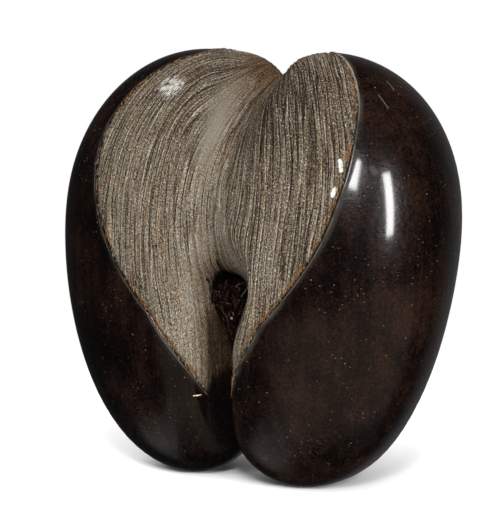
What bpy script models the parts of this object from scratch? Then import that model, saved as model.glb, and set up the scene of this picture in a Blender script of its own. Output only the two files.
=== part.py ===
"""Coco de mer seed: a two-lobed palm nut standing on its lobe ends.

+Z is up, +X is the seed's left-to-right width and -Y is its rough face.
Lengths are in millimetres here and turned into metres when a mesh is made.
Outlines are closed curves round the X axis: angle 0 is the front, 90 the top,
180 the back and 270 the bottom.  Each half of the seed runs from its medial
line (reach 0) over the crest of the lobe (reach 1) to the side pole (reach 2).
"""
import math

import bmesh
import bpy
import numpy as np

# ---- driving dimensions: the seed, millimetres and degrees ----
HEIGHT = 300.0
WIDEST_HEIGHT = 153.0     # height at which the lobes are deepest
CREST_DEPTH_FRONT = 75.0
CREST_DEPTH_BACK = 83.0
DEPTH_TAPER = 0.13        # lobes deeper towards the top
LEAN = 0.111              # backward lean, per unit of height
SIDE_POLE = (149.0, -1.5, 182.5)
SIDE_FULLNESS = 0.034
# values at the front, top, back and bottom of the seed
CREST_X = (42.5, 47.0, 65.0, 44.5)
MEDIAL_Y = (-58.0, 29.0, 30.0, 7.0)
MEDIAL_Z = (196.0, 281.0, 195.0, 113.0)
VALLEY_ANGLE = (4.0, 42.0, 75.0, 87.0)    # slope of the valley wall at its floor
VALLEY_WALL = (14.0, 36.0, 25.0, 66.0)    # how far that slope carries outwards
SLIT_SHARE = (0.0, 0.0, 0.6, 1.0)         # 1 where the lobes close to a slit
SLIT_GAP = 1.5            # half the gap between the lobes in the slit
SLIT_ROUND = 1.3          # roundness of the lobes where they turn into it
HEEL_DROP = 28.5          # heel behind each lobe's foot, which carries the seed's weight
HEEL_ANGLE = 227.0
HEEL_SPREAD = 24.5
HEEL_FALLOFF = 4.0        # how soon the heel dies out towards the side
# the valley and the slit wander off the middle: sideways by angle, less away from them
CLEFT_ANGLES = (0.0, 42.0, 60.0, 90.0, 140.0, 200.0, 270.0, 300.0, 322.0)
CLEFT_DRIFT = (0.0, 0.3, 3.0, 6.0, 2.0, 0.0, 3.8, -2.5, -0.5)
CLEFT_WIDTH = 45.0
ORIGIN_Y = 5.9            # puts the origin under the middle of the seed's box

# ---- driving dimensions: the rough face ----
# how far towards the right and the left it reaches, and how far its ridges fan, by angle
FACE_ANGLES = (6.0, 26.0, 48.0, 62.0, 76.0, 90.0, 108.0, 135.0, 180.0, 240.0, 275.0, 303.0, 322.0, 337.0, 352.0)
RIGHT_REACH = (1.22, 1.32, 1.33, 1.29, 1.19, 1.03, 0.78, 0.45, 0.30, 0.28, 0.33, 0.54, 0.68, 0.83, 1.06)
LEFT_REACH = (1.22, 1.33, 1.27, 1.16, 1.03, 0.83, 0.64, 0.43, 0.30, 0.28, 0.33, 0.54, 0.68, 0.83, 1.06)
RIDGE_FAN = (1.38, 1.42, 1.38, 1.30, 1.18, 1.00, 0.74, 0.45, 0.30, 0.28, 0.50, 0.78, 1.00, 1.15, 1.28)
RIDGE_COUNT = 9           # on each half
RIDGE_DEPTH = 2.0
GROOVE_REACH = 0.022      # half width of the groove cut along the border
GROOVE_DEPTH = 2.2

# ---- driving dimensions: the fibre tuft and its seat ----
SEAT_ANGLE = 320.0        # place of the seat along the medial line
SEAT_SPREAD = 16.0
SEAT_HALF_WIDTH = 15.0
SEAT_DEPTH = 21.0
SEAT_WIDENING = 6.0       # of each wall, most where it lies SEAT_WALL_X out
SEAT_WALL_X = 7.0
TUFT_TOP = 143.0          # heights of the ends of the tuft's core
TUFT_TIP = 96.0
TUFT_HALF_WIDTH = 7.3
TUFT_X = 1.5              # off the middle of the seat
TUFT_SIDE_Y = -39.5       # where the core is widest, at its top
TUFT_BACK_Y = -31.5       # back edge of the core, at its top
TUFT_BACK_SLOPE = 0.24    # how the back edge moves in per unit of fall
TUFT_FRONT_BULGE = 4.0
STRAND_COUNT = 15         # fibres laid down the front of the core
STRAND_RADIUS = 0.9
STRAND_TAIL = 6.0         # loose fibre below the core

# ---- mesh density ----
FRONT_ROWS = 34           # rows round the seed where the rough face is
BACK_ROWS = 10
FOOT_ROWS = 10            # rows across the flats that the lobes stand on
FACE_COLUMNS = 26         # columns from the medial line to the border
SHELL_COLUMNS = 19        # columns from the border to the side pole
FRONT_START = -88.0       # angles between which these rows lie
FRONT_END = 118.0
FOOT_START = 232.0


def clear_scene():
    for item in list(bpy.data.objects):
        bpy.data.objects.remove(item, do_unlink=True)


def around(angle, values):
    """Smooth closed blend that meets the four values a quarter turn apart."""
    front, top, back, bottom = values
    mean = (front + top + back + bottom) / 4
    cross = ((front + back) - (top + bottom)) / 4
    return (mean + (front - back) / 2 * np.cos(angle) + (top - bottom) / 2 * np.sin(angle)
            + cross * np.cos(2 * angle))


def through(angle, stations, values):
    """Smooth closed curve through values given at the station angles."""
    places = np.radians(np.array(stations))
    count = len(places)
    places = np.concatenate([places[-2:] - math.tau, places, places[:3] + math.tau])
    heights = np.array(values)
    heights = np.concatenate([heights[-2:], heights, heights[:3]])
    slopes = np.gradient(heights, places)
    turned = np.mod(angle - places[2], math.tau) + places[2]
    left = np.clip(np.searchsorted(places, turned, side="right") - 1, 2, count + 1)
    span = places[left + 1] - places[left]
    part = (turned - places[left]) / span
    rise = part * part * (3 - 2 * part)
    return (heights[left] * (1 - rise) + heights[left + 1] * rise
            + span * slopes[left] * part * (1 - part) ** 2
            - span * slopes[left + 1] * part * part * (1 - part))


def apart(angle, degrees):
    """Turn between an angle and a named angle, within half a circle."""
    return np.mod(angle - math.radians(degrees) + math.pi, math.tau) - math.pi


def heel_depth(angle):
    return HEEL_DROP * np.exp(-(apart(angle, HEEL_ANGLE) / math.radians(HEEL_SPREAD)) ** 2)


def crest_outline(angle):
    cosine = np.cos(angle)
    sine = np.sin(angle)
    mean = (CREST_DEPTH_FRONT + CREST_DEPTH_BACK) / 2
    skew = (CREST_DEPTH_FRONT - CREST_DEPTH_BACK) / 2
    y = -(mean * cosine + skew * cosine ** 2) * (1 + DEPTH_TAPER * sine)
    z = WIDEST_HEIGHT + HEIGHT / 2 * sine + (HEIGHT / 2 - WIDEST_HEIGHT) * sine ** 2
    return around(angle, CREST_X), y, z - heel_depth(angle)


def medial_outline(angle):
    z = around(angle, MEDIAL_Z)
    return around(angle, MEDIAL_Y) - LEAN * (z - WIDEST_HEIGHT), z


def outer_quarter(angle, reach, crest):
    """From the crest of a lobe round its side to the pole."""
    turn = np.clip(reach - 1, 0, 1) * math.pi / 2
    shrink = np.cos(turn) * (1 + SIDE_FULLNESS * np.sin(turn) ** 2)
    x = crest[0] + (SIDE_POLE[0] - crest[0]) * np.sin(turn)
    y = SIDE_POLE[1] + (crest[1] - SIDE_POLE[1]) * shrink
    heel = heel_depth(angle)
    z = SIDE_POLE[2] + (crest[2] + heel - SIDE_POLE[2]) * shrink - heel * shrink ** HEEL_FALLOFF
    return x, y, z


def valley(angle, reach, crest, floor, curve):
    """From the crest down into the valley: distance out and depth below the crest."""
    slope = np.radians(around(angle, VALLEY_ANGLE))
    wall = around(angle, VALLEY_WALL)
    rest = floor - wall * np.sin(slope)
    arm = np.minimum(np.sqrt(2 / 3 * np.maximum(rest, 1.0) / curve), 0.55 * crest)
    part = 1 - np.clip(reach, 0, 1)
    first = (1 - part) ** 3
    second = 3 * part * (1 - part) ** 2
    third = 3 * part ** 2 * (1 - part)
    out = first * crest + second * (crest - arm) + third * wall * np.cos(slope)
    return out, third * rest + part ** 3 * floor


def slit(reach, crest, floor, curve):
    """The lobe's rounded lip, then the straight wall of the slit."""
    part = 1 - np.clip(reach, 0, 1)
    half = crest - SLIT_GAP
    lip = np.minimum(SLIT_ROUND * half ** 2 * curve, 0.85 * floor)
    share = math.pi / 2 * lip / (math.pi / 2 * lip + floor - lip)
    turn = np.minimum(part / share, 1) * math.pi / 2
    wall = np.clip((part - share) / (1 - share), 0, 1)
    out = crest - half * np.sin(turn) - SLIT_GAP * wall ** 4
    return out, lip * (1 - np.cos(turn)) + (floor - lip) * wall


def smooth_seed(angle, reach):
    """Point of the right half of the seed before ridges and groove."""
    crest = crest_outline(angle)
    floor_y, floor_z = medial_outline(angle)
    across = crest[1] - floor_y
    upward = crest[2] - floor_z
    floor = np.hypot(across, upward)
    pole = np.hypot(crest[1] - SIDE_POLE[1], crest[2] - SIDE_POLE[2])
    curve = pole / (SIDE_POLE[0] - crest[0]) ** 2 * (1 - 2 * SIDE_FULLNESS)
    open_x, open_depth = valley(angle, reach, crest[0], floor, curve)
    shut_x, shut_depth = slit(reach, crest[0], floor, curve)
    share = np.clip(around(angle, SLIT_SHARE), 0, 1)
    x = open_x + (shut_x - open_x) * share
    depth = open_depth + (shut_depth - open_depth) * share
    seat = np.exp(-(apart(angle, SEAT_ANGLE) / math.radians(SEAT_SPREAD)) ** 2)
    depth = depth + SEAT_DEPTH * seat * np.exp(-(x / SEAT_HALF_WIDTH) ** 2)
    wide = x / SEAT_WALL_X
    x = x + SEAT_WIDENING * seat * wide * np.exp(0.5 - 0.5 * wide ** 2)
    side = outer_quarter(angle, reach, crest)
    outer = reach > 1
    x = np.where(outer, side[0], x)
    y = np.where(outer, side[1], crest[1] - across / floor * depth)
    z = np.where(outer, side[2], crest[2] - upward / floor * depth)
    return np.stack([x, y + LEAN * (z - WIDEST_HEIGHT), z], axis=-1)


def relief_depth(angle, reach, face_reach):
    """Depth of the ridges of the rough face and of the groove along its border."""
    border = through(angle, FACE_ANGLES, face_reach)
    fan = through(angle, FACE_ANGLES, RIDGE_FAN)
    wave = 0.5 - 0.5 * np.cos(math.tau * RIDGE_COUNT * reach / fan)
    inside = np.clip((border - GROOVE_REACH - reach) / 0.06, 0, 1)
    fade = np.clip(reach / 0.12, 0, 1) * np.clip((border - 0.5) / 0.3, 0, 1)
    groove = np.clip(1 - np.abs(reach - border) / GROOVE_REACH, 0, 1)
    shown = np.clip((border - 0.35) / 0.3, 0, 1)
    return RIDGE_DEPTH * wave * inside * fade + GROOVE_DEPTH * groove * shown


def seed_point(angle, reach, side):
    """Point of one half with its relief, set down on the floor; side is 1 right and -1 left."""
    step = 1e-3
    point = smooth_seed(angle, reach)
    along = smooth_seed(angle + step, reach) - smooth_seed(angle - step, reach)
    low = np.maximum(reach - step, 0)
    high = np.minimum(reach + step, 2)
    outward = smooth_seed(angle, high) - smooth_seed(angle, low)
    normal = np.cross(outward, along)
    length = np.linalg.norm(normal, axis=-1, keepdims=True)
    normal = normal / np.maximum(length, 1e-9)
    relief = relief_depth(angle, reach, RIGHT_REACH if side > 0 else LEFT_REACH)
    point = point - normal * relief[..., None]
    x = point[..., 0] * side
    drift = through(angle, CLEFT_ANGLES, CLEFT_DRIFT) * np.exp(-(x / CLEFT_WIDTH) ** 2)
    return np.stack([x + drift, point[..., 1], np.maximum(point[..., 2], 0)], axis=-1)


def row_angles():
    front = np.linspace(FRONT_START, FRONT_END, FRONT_ROWS + 1)
    back = np.linspace(FRONT_END, FOOT_START, BACK_ROWS + 1)
    foot = np.linspace(FOOT_START, FRONT_START + 360, FOOT_ROWS + 1)
    return np.radians(np.concatenate([front[:-1], back[:-1], foot[:-1]]))


def row_reaches(angle, face_reach):
    """Reaches of the columns in one row, close over the rough face."""
    border = float(through(np.array([angle]), FACE_ANGLES, face_reach)[0])
    face = np.linspace(0, border - GROOVE_REACH, FACE_COLUMNS + 1)[1:]
    shell = np.linspace(border + GROOVE_REACH, 2, SHELL_COLUMNS + 1)[:-1]
    return np.concatenate([face, [border], shell])


def make_material(name, colour, roughness):
    material = bpy.data.materials.new(name)
    material.use_nodes = True
    shader = material.node_tree.nodes["Principled BSDF"]
    shader.inputs["Base Color"].default_value = (*colour, 1.0)
    shader.inputs["Roughness"].default_value = roughness
    shader.inputs["Metallic"].default_value = 0.0
    return material


def finish_object(name, mesh, material):
    shell = bmesh.new()
    shell.from_mesh(mesh)
    bmesh.ops.remove_doubles(shell, verts=shell.verts, dist=1e-6)
    bmesh.ops.triangulate(shell, faces=shell.faces)
    bmesh.ops.recalc_face_normals(shell, faces=shell.faces)
    shell.to_mesh(mesh)
    shell.free()
    mesh.name = name
    item = bpy.data.objects.new(name, mesh)
    mesh.materials.clear()
    mesh.materials.append(material)
    bpy.context.scene.collection.objects.link(item)
    return item


def half_faces(first, medial, pole, rows, columns, mirrored):
    """Quads and end fans of one half, wound outwards."""
    faces = []
    for row in range(rows):
        follow = (row + 1) % rows
        here = [medial + row] + [first + row * columns + step for step in range(columns)]
        there = [medial + follow] + [first + follow * columns + step for step in range(columns)]
        for step in range(columns):
            faces.append([here[step], there[step], there[step + 1], here[step + 1]])
        faces.append([here[-1], there[-1], pole])
    return [face[::-1] for face in faces] if mirrored else faces


def half_points(angles, side):
    """Points of one half row by row, without the medial line and the pole."""
    face_reach = RIGHT_REACH if side > 0 else LEFT_REACH
    reaches = np.array([row_reaches(angle, face_reach) for angle in angles])
    return seed_point(angles[:, None] + 0 * reaches, reaches, side)


def make_nut():
    angles = row_angles()
    right = half_points(angles, 1)
    left = half_points(angles, -1)
    rows, columns = right.shape[:2]
    medial = seed_point(angles, 0 * angles, 1)
    poles = [seed_point(angles[:1], np.array([2.0]), side) for side in (1, -1)]
    points = np.concatenate([medial, right.reshape(-1, 3), left.reshape(-1, 3)] + poles)
    points = (points - [0, ORIGIN_Y, 0]) / 1000
    second = rows + rows * columns
    last = second + rows * columns
    faces = half_faces(rows, 0, last, rows, columns, False)
    faces += half_faces(second, 0, last + 1, rows, columns, True)
    mesh = bpy.data.meshes.new("nut")
    mesh.from_pydata(points.tolist(), [], faces)
    return finish_object("nut", mesh, make_material("nut shell", (0.035, 0.020, 0.014), 0.2))


def core_point(level, turn):
    """Point on the core: level 0 at its top and 1 at its tip, turn from the front."""
    fall = level * (TUFT_TOP - TUFT_TIP)
    width = TUFT_HALF_WIDTH * (1 - level ** 1.6) + 0.5
    side = TUFT_SIDE_Y + 5.0 * level
    back = TUFT_BACK_Y + TUFT_BACK_SLOPE * fall * (1 - 0.45 * level)
    across = math.sin(turn)
    ahead = math.cos(turn)
    if ahead >= 0:
        depth = side - (TUFT_FRONT_BULGE * (1 - level) + 1.0) * ahead
    else:
        depth = side + (back - side) * abs(ahead) ** 1.6
        across = math.copysign(abs(across) ** 1.6, across)
    return TUFT_X + width * across, depth - ORIGIN_Y, TUFT_TOP - fall


def tube_mesh(rings, name):
    """Closed tube through rings of points, its ends drawn to a point."""
    sides = len(rings[0])
    points = [point for ring in rings for point in ring]
    for ring in (rings[0], rings[-1]):
        points.append([sum(point[axis] for point in ring) / sides for axis in range(3)])
    faces = []
    for start in range(0, (len(rings) - 1) * sides, sides):
        for side in range(sides):
            other = (side + 1) % sides
            faces.append([start + side, start + other, start + sides + other, start + sides + side])
    last = len(points) - 2 - sides
    for side in range(sides):
        other = (side + 1) % sides
        faces.append([other, side, len(points) - 2])
        faces.append([last + side, last + other, len(points) - 1])
    mesh = bpy.data.meshes.new(name)
    mesh.from_pydata([[value / 1000 for value in point] for point in points], [], faces)
    return mesh


def strand_rings(number):
    """One fibre down the front of the core, rooted in it and loose at its tip."""
    share = (number + 0.5) / STRAND_COUNT * 2 - 1
    turn = share * math.radians(68)
    sway = math.sin(number * 2.4)
    rings = []
    for step in range(9):
        level = 0.04 + 0.96 * step / 8
        x, y, z = core_point(min(level, 0.97), turn * (1 - 0.25 * level) + 0.08 * sway * math.sin(level * 9))
        z -= STRAND_TAIL * (0.6 + 0.4 * math.cos(number * 1.7)) * max(0, level - 0.75) / 0.25
        y += 0.4 - 0.5 * (number % 2) - (1.6 if step == 0 else 0) * (number % 3 == 0)
        radius = STRAND_RADIUS * (1 - 0.55 * level)
        ring = []
        for side in range(5):
            about = math.tau * side / 5
            ring.append([x + radius * math.cos(about), y + radius * math.sin(about), z])
        rings.append(ring)
    return rings


def keep_outer_body(mesh):
    """Drop the small voids that strands enclose between themselves and the core."""
    shell = bmesh.new()
    shell.from_mesh(mesh)
    waiting = set(shell.faces)
    bodies = []
    while waiting:
        edge_of_body = [waiting.pop()]
        body = list(edge_of_body)
        while edge_of_body:
            face = edge_of_body.pop()
            for edge in face.edges:
                for near in edge.link_faces:
                    if near in waiting:
                        waiting.remove(near)
                        edge_of_body.append(near)
                        body.append(near)
        bodies.append(body)
    bodies.sort(key=len)
    for body in bodies[:-1]:
        bmesh.ops.delete(shell, geom=body, context="FACES")
    shell.to_mesh(mesh)
    shell.free()


def make_tuft():
    levels = [0.0, 0.06, 0.16, 0.3, 0.45, 0.6, 0.75, 0.88, 1.0]
    rings = []
    for level in levels:
        rings.append([core_point(level, math.tau * side / 16) for side in range(16)])
    top = rings[0]
    middle = [sum(point[axis] for point in top) / 16 for axis in range(3)]
    cap = [[middle[axis] + 0.55 * (point[axis] - middle[axis]) for axis in range(2)] + [TUFT_TOP + 1.2]
           for point in top]
    material = make_material("tuft fibre", (0.014, 0.008, 0.006), 0.75)
    tuft = finish_object("tuft", tube_mesh([cap] + rings, "tuft"), material)
    strands = bpy.data.collections.new("strands")
    for number in range(STRAND_COUNT):
        strand = finish_object(f"strand {number}", tube_mesh(strand_rings(number), "strand"), material)
        bpy.context.scene.collection.objects.unlink(strand)
        strands.objects.link(strand)
    bpy.context.scene.collection.children.link(strands)
    join = tuft.modifiers.new("join", "BOOLEAN")
    join.operation = "UNION"
    join.operand_type = "COLLECTION"
    join.solver = "MANIFOLD"
    join.collection = strands
    evaluated = tuft.evaluated_get(bpy.context.evaluated_depsgraph_get())
    joined = bpy.data.meshes.new_from_object(evaluated)
    keep_outer_body(joined)
    tuft.modifiers.clear()
    tuft.data = joined
    for strand in list(strands.objects):
        bpy.data.objects.remove(strand, do_unlink=True)
    bpy.data.collections.remove(strands)
    return tuft


def main():
    clear_scene()
    make_nut()
    make_tuft()


main()
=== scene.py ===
"""Dress of a coco de mer seed: polished shell, rough fibrous face and a tuft of dark fibre."""

import math

import bpy
import numpy as np
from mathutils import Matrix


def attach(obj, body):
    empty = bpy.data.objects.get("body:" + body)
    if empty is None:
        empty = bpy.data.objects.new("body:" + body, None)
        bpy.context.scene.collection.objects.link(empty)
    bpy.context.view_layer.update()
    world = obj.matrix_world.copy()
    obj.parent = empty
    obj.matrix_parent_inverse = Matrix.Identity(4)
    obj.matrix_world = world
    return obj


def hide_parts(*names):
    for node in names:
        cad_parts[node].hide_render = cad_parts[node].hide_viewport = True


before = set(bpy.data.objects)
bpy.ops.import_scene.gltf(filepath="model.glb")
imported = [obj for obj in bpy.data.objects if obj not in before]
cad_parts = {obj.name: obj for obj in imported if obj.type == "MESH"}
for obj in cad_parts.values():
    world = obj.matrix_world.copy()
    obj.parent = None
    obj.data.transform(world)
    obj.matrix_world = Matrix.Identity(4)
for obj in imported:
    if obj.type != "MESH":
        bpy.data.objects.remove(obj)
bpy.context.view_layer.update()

# ---- The table and the view ----
# The seed stands on a white paper table that fades into a white room.  The eye is a
# little to the right of its rough face and slightly above its middle.
VIEW_TURN = 28.6  # degrees from the front towards the right
VIEW_RISE = 9.2
VIEW_DISTANCE = 1.5
VIEW_TARGET = (-0.0071, -0.0098, 0.1491)
LENS = 156.9  # mm on a 36 mm wide picture
TABLE_SIZE = 9.0
TABLE_FADE = (0.24, 0.52)  # metres from the middle where the paper starts to fade, and is gone
PAPER = (0.90, 0.90, 0.90)
PAPER_CLOUD = (0.40, 0.40, 0.40)


def toward(turn, rise):
    """Unit direction turned from the seed's front to its right, and raised."""
    side = math.radians(turn)
    up = math.radians(rise)
    return np.array([math.sin(side) * math.cos(up), -math.cos(side) * math.cos(up), math.sin(up)])


def aim(item, place, target):
    """Put a camera or a light at a place, looking at a target."""
    back = np.array(place, float) - np.array(target, float)
    turn = math.atan2(back[0], -back[1])
    tilt = math.atan2(math.hypot(back[0], back[1]), back[2])
    item.location = place
    item.rotation_euler = (tilt, 0, turn)


camera = bpy.data.objects.new("view", bpy.data.cameras.new("view"))
camera.data.sensor_fit = "HORIZONTAL"
camera.data.sensor_width = 36
camera.data.lens = LENS
camera.data.clip_end = 30
aim(camera, np.array(VIEW_TARGET) + VIEW_DISTANCE * toward(VIEW_TURN, VIEW_RISE), VIEW_TARGET)
bpy.context.scene.collection.objects.link(camera)
bpy.context.scene.camera = camera
bpy.context.scene.view_settings.view_transform = "Standard"


def two_way(operation):
    """Arithmetic between a wire and another wire or a number."""
    return lambda wire, other: wire.work(operation, other)


class Wire:
    """One output of a node, which adds and multiplies like a number."""

    def __init__(self, bench, socket):
        self.bench = bench
        self.socket = socket

    def work(self, operation, *others):
        return self.bench.node("ShaderNodeMath", {"operation": operation}, [self, *others])

    __add__ = two_way("ADD")
    __sub__ = two_way("SUBTRACT")
    __mul__ = two_way("MULTIPLY")
    __truediv__ = two_way("DIVIDE")
    __pow__ = two_way("POWER")
    least = two_way("MINIMUM")
    most = two_way("MAXIMUM")

    def __rsub__(self, other):
        return self * -1.0 + other

    def size(self):
        return self.work("ABSOLUTE")

    def ease(self, start, end, low=0.0, high=1.0):
        """Smooth step from low to high as the value goes from start to end."""
        return self.bench.node("ShaderNodeMapRange", {"interpolation_type": "SMOOTHSTEP"},
                               [self, start, end, low, high])

    def bump(self, place, width):
        """Smooth hill of height 1 round a place."""
        return ((self - place).size() / width).ease(1.0, 0.0)

    def stretch(self, scale):
        """This vector times three numbers, or times one number's wire."""
        return self.bench.node("ShaderNodeVectorMath", {"operation": "MULTIPLY"}, [self, scale])

    def grain(self, scale=1.0, detail=2.0, roughness=0.5):
        """Soft random grain between 0 and 1, at this place."""
        inputs = {"Vector": self, "Scale": scale, "Detail": detail, "Roughness": roughness}
        return self.bench.node("ShaderNodeTexNoise", {}, inputs)

    def parts(self):
        """The three numbers of a vector."""
        first = self.bench.node("ShaderNodeSeparateXYZ", {}, [self])
        outputs = first.socket.node.outputs
        return [Wire(self.bench, outputs[number]) for number in range(3)]


class Bench:
    """A node tree under construction."""

    def __init__(self, tree):
        self.tree = tree

    def node(self, kind, settings=None, inputs=None, output=0):
        """A new node: its settings first, then the values or wires of its sockets."""
        node = self.tree.nodes.new(kind)
        for name, value in (settings or {}).items():
            if name == "stops":
                self.set_stops(node.color_ramp, value)
            else:
                setattr(node, name, value)
        pairs = inputs.items() if isinstance(inputs, dict) else enumerate(inputs or [])
        for key, value in pairs:
            if isinstance(value, Wire):
                self.tree.links.new(value.socket, node.inputs[key])
            else:
                node.inputs[key].default_value = value
        outputs = node.outputs
        return Wire(self, outputs[output]) if len(outputs) else None

    @staticmethod
    def set_stops(ramp, stops):
        while len(ramp.elements) < len(stops):
            ramp.elements.new(0.5)
        for element, (place, colour) in zip(ramp.elements, stops):
            element.position = place
            element.color = (*colour, 1.0)

    def vector(self, x, y, z):
        return self.node("ShaderNodeCombineXYZ", {}, [x, y, z])

    def tint(self, share, low, high, way="MIX"):
        """Mix two colours, each a tuple or a wire."""
        low = (*low, 1.0) if isinstance(low, tuple) else low
        high = (*high, 1.0) if isinstance(high, tuple) else high
        settings = {"data_type": "RGBA", "blend_type": way}
        return self.node("ShaderNodeMix", settings, {0: share, 6: low, 7: high}, output=2)

    def ramp(self, value, stops):
        return self.node("ShaderNodeValToRGB", {"stops": stops}, [value])


def new_finish(name, constants):
    """A material with one main shader; the constants go straight on its sockets."""
    finish = bpy.data.materials.new(name)
    finish.use_nodes = True
    finish.node_tree.nodes.clear()
    bench = Bench(finish.node_tree)
    shader = bench.node("ShaderNodeBsdfPrincipled", {}, constants)
    bench.node("ShaderNodeOutputMaterial", {}, {"Surface": shader})
    return finish, bench, shader.socket.node


def join(wire, node, socket):
    wire.bench.tree.links.new(wire.socket, node.inputs[socket])


def lay_table():
    half = TABLE_SIZE / 2
    mesh = bpy.data.meshes.new("table")
    corners = [(-half, -half, 0), (half, -half, 0), (half, half, 0), (-half, half, 0)]
    mesh.from_pydata(corners, [], [(0, 1, 2, 3)])
    table = bpy.data.objects.new("table", mesh)
    bpy.context.scene.collection.objects.link(table)
    constants = {"Roughness": 0.9, "Specular IOR Level": 0.1}
    paper, bench, shader = new_finish("white paper", constants)
    place = bench.node("ShaderNodeTexCoord", output="Object")
    x, y = place.parts()[:2]
    away = (x * x + y * y) ** 0.5
    cloud = place.grain(3.0, 3.0) * 0.02
    join(bench.tint(cloud, PAPER, PAPER_CLOUD), shader, "Base Color")
    join(away.ease(*TABLE_FADE, 1.0, 0.0), shader, "Alpha")
    mesh.materials.append(paper)
    table.visible_glossy = False


lay_table()

# ---- Lamps and room ----
# Two soft boxes at the right leave the two long gleams on the polished shell.  Three wide
# veils light the rough face and the table evenly.  The room is dim, but white to the eye.
SEED_MIDDLE = (0.0, 0.0, 0.17)
LAMPS = (
    # name, turn, rise, distance, width, height, power, seen in gleams, roll in degrees
    ("tall box", 57.0, 18.6, 1.7, 0.20, 0.80, 28.0, True, 0.0),
    ("small box", 27.0, 33.0, 1.7, 0.27, 0.44, 20.0, True, -14.0),
    ("veil", 4.0, 46.0, 2.0, 1.3, 1.3, 12.0, True, 0.0),
    ("top veil", 60.0, 70.0, 2.0, 1.6, 1.6, 16.0, False, 0.0),
    ("left veil", -80.0, 40.0, 2.0, 1.4, 1.4, 38.0, False, 0.0),
)
ROOM_LIGHT = 0.45  # what it gives to anything that isn't a mirror
ROOM_GLEAM = (0.02, 0.10)  # what the shell mirrors of its front and its back
FLOOR_GLEAM = 0.50  # what it mirrors of the lit floor ahead
FLOOR_WARM = (1.0, 0.78, 0.60)
UNDER_GLEAM = 0.50  # and of the floor close under its left side


def hang_lamp(name, turn, rise, distance, width, height, power, gleams, roll):
    lamp = bpy.data.lights.new(name, "AREA")
    lamp.shape = "RECTANGLE"
    lamp.size = width
    lamp.size_y = height
    lamp.energy = power
    item = bpy.data.objects.new(name, lamp)
    aim(item, np.array(SEED_MIDDLE) + distance * toward(turn, rise), SEED_MIDDLE)
    item.rotation_euler.rotate_axis("Z", math.radians(roll))
    item.visible_glossy = gleams
    bpy.context.scene.collection.objects.link(item)


for lamp_values in LAMPS:
    hang_lamp(*lamp_values)


def paint_room():
    room = bpy.data.worlds.new("room")
    bpy.context.scene.world = room
    room.use_nodes = True
    room.node_tree.nodes.clear()
    bench = Bench(room.node_tree)
    seen = bench.node("ShaderNodeLightPath", output="Is Camera Ray")
    gloss = Wire(bench, seen.socket.node.outputs["Is Glossy Ray"])
    x, y, z = bench.node("ShaderNodeTexCoord", output="Generated").parts()
    gleam = y.ease(0.55, 0.95, *ROOM_GLEAM)
    floor = (z.ease(-0.16, -0.36) * z.ease(-0.97, -0.70) * y.ease(0.35, -0.10)
             * x.ease(-0.45, -0.10))
    under = (z.ease(-0.62, -0.80) * z.ease(-0.99, -0.86) * x.ease(-0.12, -0.35)
             * y.ease(0.2, -0.2))
    mirrored = gleam + floor * FLOOR_GLEAM + under * UNDER_GLEAM
    strength = seen + (1.0 - seen) * (gloss * mirrored + (1.0 - gloss) * ROOM_LIGHT)
    colour = bench.tint(gloss * floor, (1.0, 1.0, 1.0), FLOOR_WARM)
    light = bench.node("ShaderNodeBackground", {}, {"Color": colour, "Strength": strength})
    bench.node("ShaderNodeOutputWorld", {}, {"Surface": light})


paint_room()

# ---- The seed ----
# One grown piece: a hard black shell, sanded and polished, in two lobes joined over a deep
# cleft.  The front keeps its rough grey-brown face, where the husk's fibres ran in long ridges.
# Every point is found by its angle round the seed (0 front, 90 top) and its reach (0 the
# middle of the cleft, 1 the crest of a lobe, 2 the pole of its side).  Millimetres.
HEIGHT = 300.0
WIDEST_HEIGHT = 153.0
CREST_DEPTH_FRONT = 75.0
CREST_DEPTH_BACK = 83.0
DEPTH_TAPER = 0.13
LEAN = 0.111
SIDE_POLE = (149.0, -1.5, 182.5)
SIDE_FULLNESS = 0.034
CREST_X = (42.5, 47.0, 65.0, 44.5)  # front, top, back, bottom
MEDIAL_Y = (-58.0, 29.0, 30.0, 7.0)
MEDIAL_Z = (196.0, 281.0, 195.0, 113.0)
VALLEY_ANGLE = (4.0, 42.0, 75.0, 87.0)
VALLEY_WALL = (14.0, 36.0, 25.0, 66.0)
SLIT_SHARE = (0.0, 0.0, 0.6, 1.0)
SLIT_GAP = 1.5
SLIT_ROUND = 1.3
HEEL_DROP = 28.5
HEEL_ANGLE = 227.0
HEEL_SPREAD = 24.5
HEEL_FALLOFF = 4.0
CLEFT_ANGLES = (0.0, 42.0, 60.0, 90.0, 140.0, 200.0, 270.0, 300.0, 322.0)
CLEFT_DRIFT = (0.0, 0.3, 3.0, 6.0, 2.0, 0.0, 3.8, -2.5, -0.5)
CLEFT_WIDTH = 45.0
ORIGIN_Y = 5.9
# where the rough face ends, at each angle
FACE_ANGLES = (6.0, 26.0, 48.0, 62.0, 76.0, 90.0, 108.0, 135.0, 180.0, 240.0, 275.0, 303.0,
               322.0, 337.0, 352.0)
RIGHT_REACH = (1.22, 1.32, 1.33, 1.29, 1.19, 1.03, 0.78, 0.45, 0.30, 0.28, 0.33, 0.54,
               0.68, 0.83, 1.06)
LEFT_REACH = (1.22, 1.335, 1.31, 1.20, 1.04, 0.83, 0.64, 0.43, 0.30, 0.30, 0.40, 0.53,
              0.648, 0.81, 1.05)
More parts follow.
